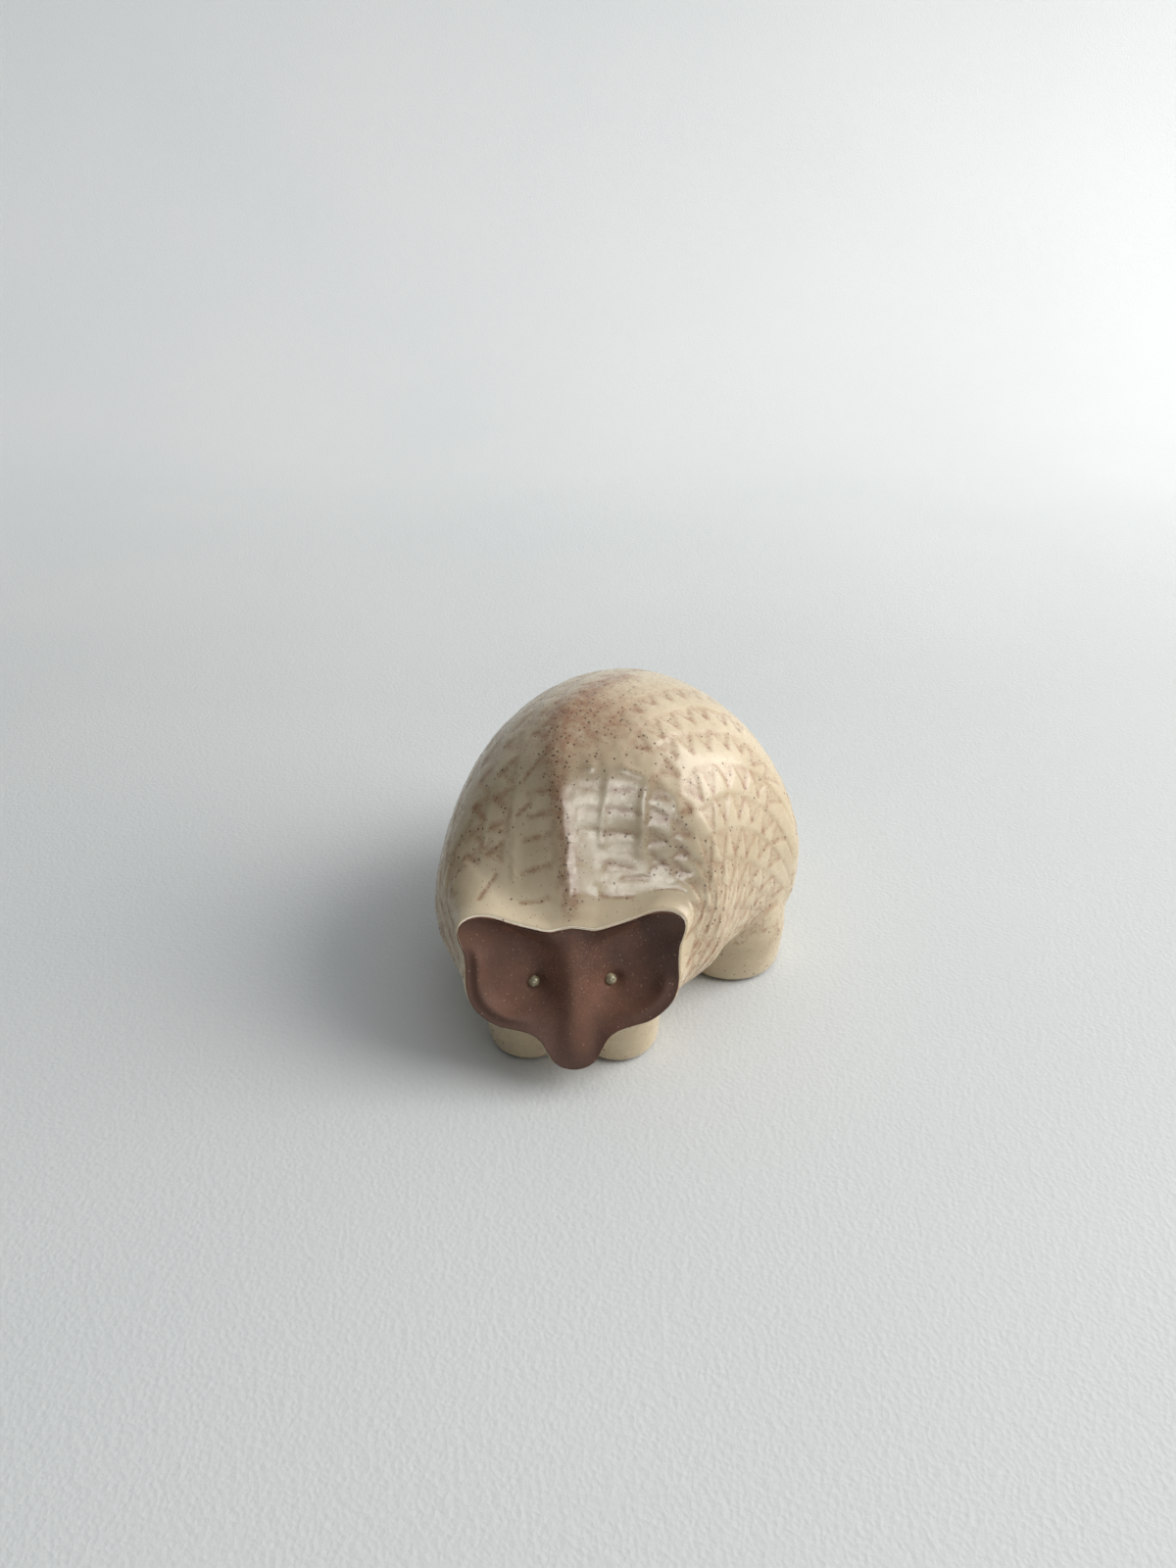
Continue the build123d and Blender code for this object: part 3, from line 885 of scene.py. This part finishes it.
# past its rim the plaque rolls over and back under the glaze
edge_growth = [0.02, 0.1, 0.16, 0.18, 0.1, -0.4, -1.2, -3.0]
edge_depth = [0.03, 0.1, 0.25, 0.6, 1.6, 3.2, 5.0, 5.6]
face_columns, face_rows, edge_rows = 360, 64, len(edge_growth)
face_angles, face_radii = around(np.arange(face_columns) / face_columns)
face_mesh, column, row = grid_mesh("face_clay", face_columns, face_rows + edge_rows)
column = column % face_columns
outline = section(0, face_angles, face_radii)
outline_radius = np.hypot(outline[:, 0], outline[:, 1])
layers, outwards_shares = [], []
for step in range(face_rows + edge_rows + 1):
    outwards_share = min(step / face_rows, 1)
    points = outline * (1 - (1 - outwards_share) ** 1.25)
    depth = dish(points[:, 0], points[:, 1], outline_radius)
    if step > face_rows:
        points = grown(outline, edge_growth[step - face_rows - 1])
        depth = depth + edge_depth[step - face_rows - 1]
    layers.append(placed(0, points) - depth[:, None] * facing)
    outwards_shares.append(outwards_share)
face_places = np.array(layers)[row, column]
put(face_mesh, face_places)
closed_mesh(face_mesh, 0.03)
face_clay = show(face_mesh)
# how far out towards the rim each vertex lies, which sets the clay's painted rim shade
kept_on(face_mesh, face_places * millimetre, {"rim": np.array(outwards_shares)[row]})
face_mesh.materials.append(dark_clay)
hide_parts("face_mask")
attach(face_clay, "root")


# The eyes
# Each is one drop of glaze, let fall into its dimple in the face and melted to a bead.
bead_radius, bead_squash, ripple_depth, ripple_rate = 0.00142, 0.9, 0.00008, 2600


def bead_material():
    """Greenish cream glaze, cloudy and bright."""
    material = bpy.data.materials.new("eye_bead")
    mix = Finish(material)
    cloud = mix.noise(900, 3, 0.6)
    colour = mix.blended(mix.ramp(cloud, 0.4, 0.65), linear(186, 176, 146), linear(128, 116, 88))
    mix.surface(colour, mix.ramp(cloud, 0.3, 0.7, 0.1, 0.2),
                {"Coat Weight": 0.5, "Coat Roughness": 0.06})
    return material


eye_bead = bead_material()
outwards = Vector(facing)
for name in ("left_eye", "right_eye"):
    low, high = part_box(name)
    centre = (low + high) / 2
    bm = bmesh.new()
    bmesh.ops.create_uvsphere(bm, u_segments=40, v_segments=24, radius=bead_radius)
    bmesh.ops.scale(bm, verts=bm.verts, vec=(1.0, 1.0, bead_squash))
    bmesh.ops.rotate(bm, verts=bm.verts, matrix=outwards.to_track_quat("Z", "Y").to_matrix())
    for vertex in bm.verts:
        vertex.co += outwards * ripple_depth * sin(vertex.co.x * ripple_rate) + centre
    for face in bm.faces:
        face.smooth = True
    mesh = made(name + "_bead", bm)
    mesh.materials.append(eye_bead)
    bead = show(mesh)
    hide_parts(name)
    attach(bead, "root")


# The table and the wall behind it
# One sheet of pale grey card with a fine leather grain, curved up far behind the figurine.
# It belongs to the picture and not to the part.
view_turn = radians(29.32)
view_right = Vector((cos(view_turn), sin(view_turn), 0))
view_ahead = Vector((-sin(view_turn), cos(view_turn), 0))
face_centre = Vector((0.011835, -0.0442404, 0))
card_half_width, card_half_run, card_near_end = 2.4, 1.3, -1.1
wall_start, sweep_radius = 0.5, 0.28


def card_material():
    """Pale grey card, which glows a little towards the far wall for the camera alone."""
    material = bpy.data.materials.new("grey_card")
    mix = Finish(material)
    soft = mix.noise(1100)
    colour = mix.blended(mix.ramp(mix.noise(5), 0.3, 0.7), linear(212, 215, 215), linear(218, 220, 219))
    ray = mix.add("ShaderNodeLightPath").outputs
    seen = mix.work("MAXIMUM", ray["Is Glossy Ray"], ray["Is Transmission Ray"])
    seen = mix.work("MAXIMUM", ray["Is Camera Ray"], seen)
    far = mix.along(mix.coordinates["Object"], view_ahead)
    glow = mix.times(seen, mix.ramp(far, 0.15, 0.75, 0, 0.26))
    mix.surface(
        colour, mix.ramp(soft, 0.3, 0.7, 0.55, 0.65),
        {"Specular IOR Level": 0.3, "Emission Color": (0.96, 0.99, 1.0, 1), "Emission Strength": glow},
        mix.plus(mix.cells(850)["Distance"], soft), 0.35, 0.0002)
    return material


bm = bmesh.new()
bmesh.ops.create_grid(bm, x_segments=4, y_segments=120, size=1)
for vertex in bm.verts:
    across, run = vertex.co.x * card_half_width, (vertex.co.y + 1) * card_half_run + card_near_end
    past = run - wall_start
    turn = min(max(past / sweep_radius, 0), pi / 2)
    ahead = min(run, wall_start) + sweep_radius * sin(turn)
    up = sweep_radius * (1 - cos(turn)) + max(past - sweep_radius * pi / 2, 0)
    spot = face_centre + view_right * across + view_ahead * ahead
    vertex.co = (spot.x, spot.y, up)
for face in bm.faces:
    face.smooth = True
card = made("card_sweep", bm)
card.materials.append(card_material())
show(card)


# The light and the camera
# A broad soft window high to the right, a small one behind the camera that only makes
# glints on the pads, and the pale room all round.
aim = Vector((0, 0, 0.03))


def lamp(name, right, ahead, up, width, height, power, colour, only_glints=False):
    """A window: a rectangle of light that faces the figurine, placed from where it aims."""
    place = aim + view_right * right + view_ahead * ahead + Vector((0, 0, up))
    light = bpy.data.lights.new(name, "AREA")
    light.shape = "RECTANGLE"
    light.size, light.size_y = width, height
    light.energy = power
    light.color = colour
    holder = bpy.data.objects.new(name, light)
    holder.location = place
    holder.rotation_euler = (aim - place).to_track_quat("-Z", "Y").to_euler()
    holder.visible_diffuse = not only_glints
    bpy.context.scene.collection.objects.link(holder)


lamp("window", right=1.3, ahead=0.04, up=0.9, width=1.3, height=1.1, power=24.5,
     colour=(1.0, 0.985, 0.96))
lamp("far_window", right=0.02, ahead=-1.1, up=0.36, width=0.34, height=0.42, power=4.4,
     colour=(1.0, 0.99, 0.97), only_glints=True)
room = bpy.data.worlds.new("room")
bpy.context.scene.world = room
mix = Finish(room)
brightest = view_right * 0.6 + view_ahead * 0.38 + Vector((0, 0, 0.7))
towards_light = mix.along(mix.coordinates["Generated"], brightest)
background = mix.add("ShaderNodeBackground")
background.inputs["Color"].default_value = (0.94, 0.975, 1.0, 1)
mix.link(mix.ramp(towards_light, -0.1, 0.95, 0.03, 0.8), background.inputs["Strength"])
mix.link(background.outputs[0], mix.add("ShaderNodeOutputWorld").inputs["Surface"])

# where the photograph was taken from: metres from the face, height and degrees down, and
# the lens as its focal length in pixels of a picture 1600 pixels high
camera_aside, camera_back, camera_height, camera_pitch = 0.003689, 0.20371, 0.20729, 31.836
focal_pixels, picture_pixels, sensor_width = 1135.53, 1600, 36
camera = bpy.data.cameras.new("camera")
camera.lens = focal_pixels / picture_pixels * sensor_width
camera.sensor_width = sensor_width
camera.clip_start = 0.01
holder = bpy.data.objects.new("camera", camera)
spot = face_centre + view_right * camera_aside - view_ahead * camera_back
holder.location = (spot.x, spot.y, camera_height)
holder.rotation_euler = (radians(90 - camera_pitch), 0, view_turn)
bpy.context.scene.collection.objects.link(holder)
bpy.context.scene.camera = holder
bpy.context.scene.view_settings.view_transform = "Standard"
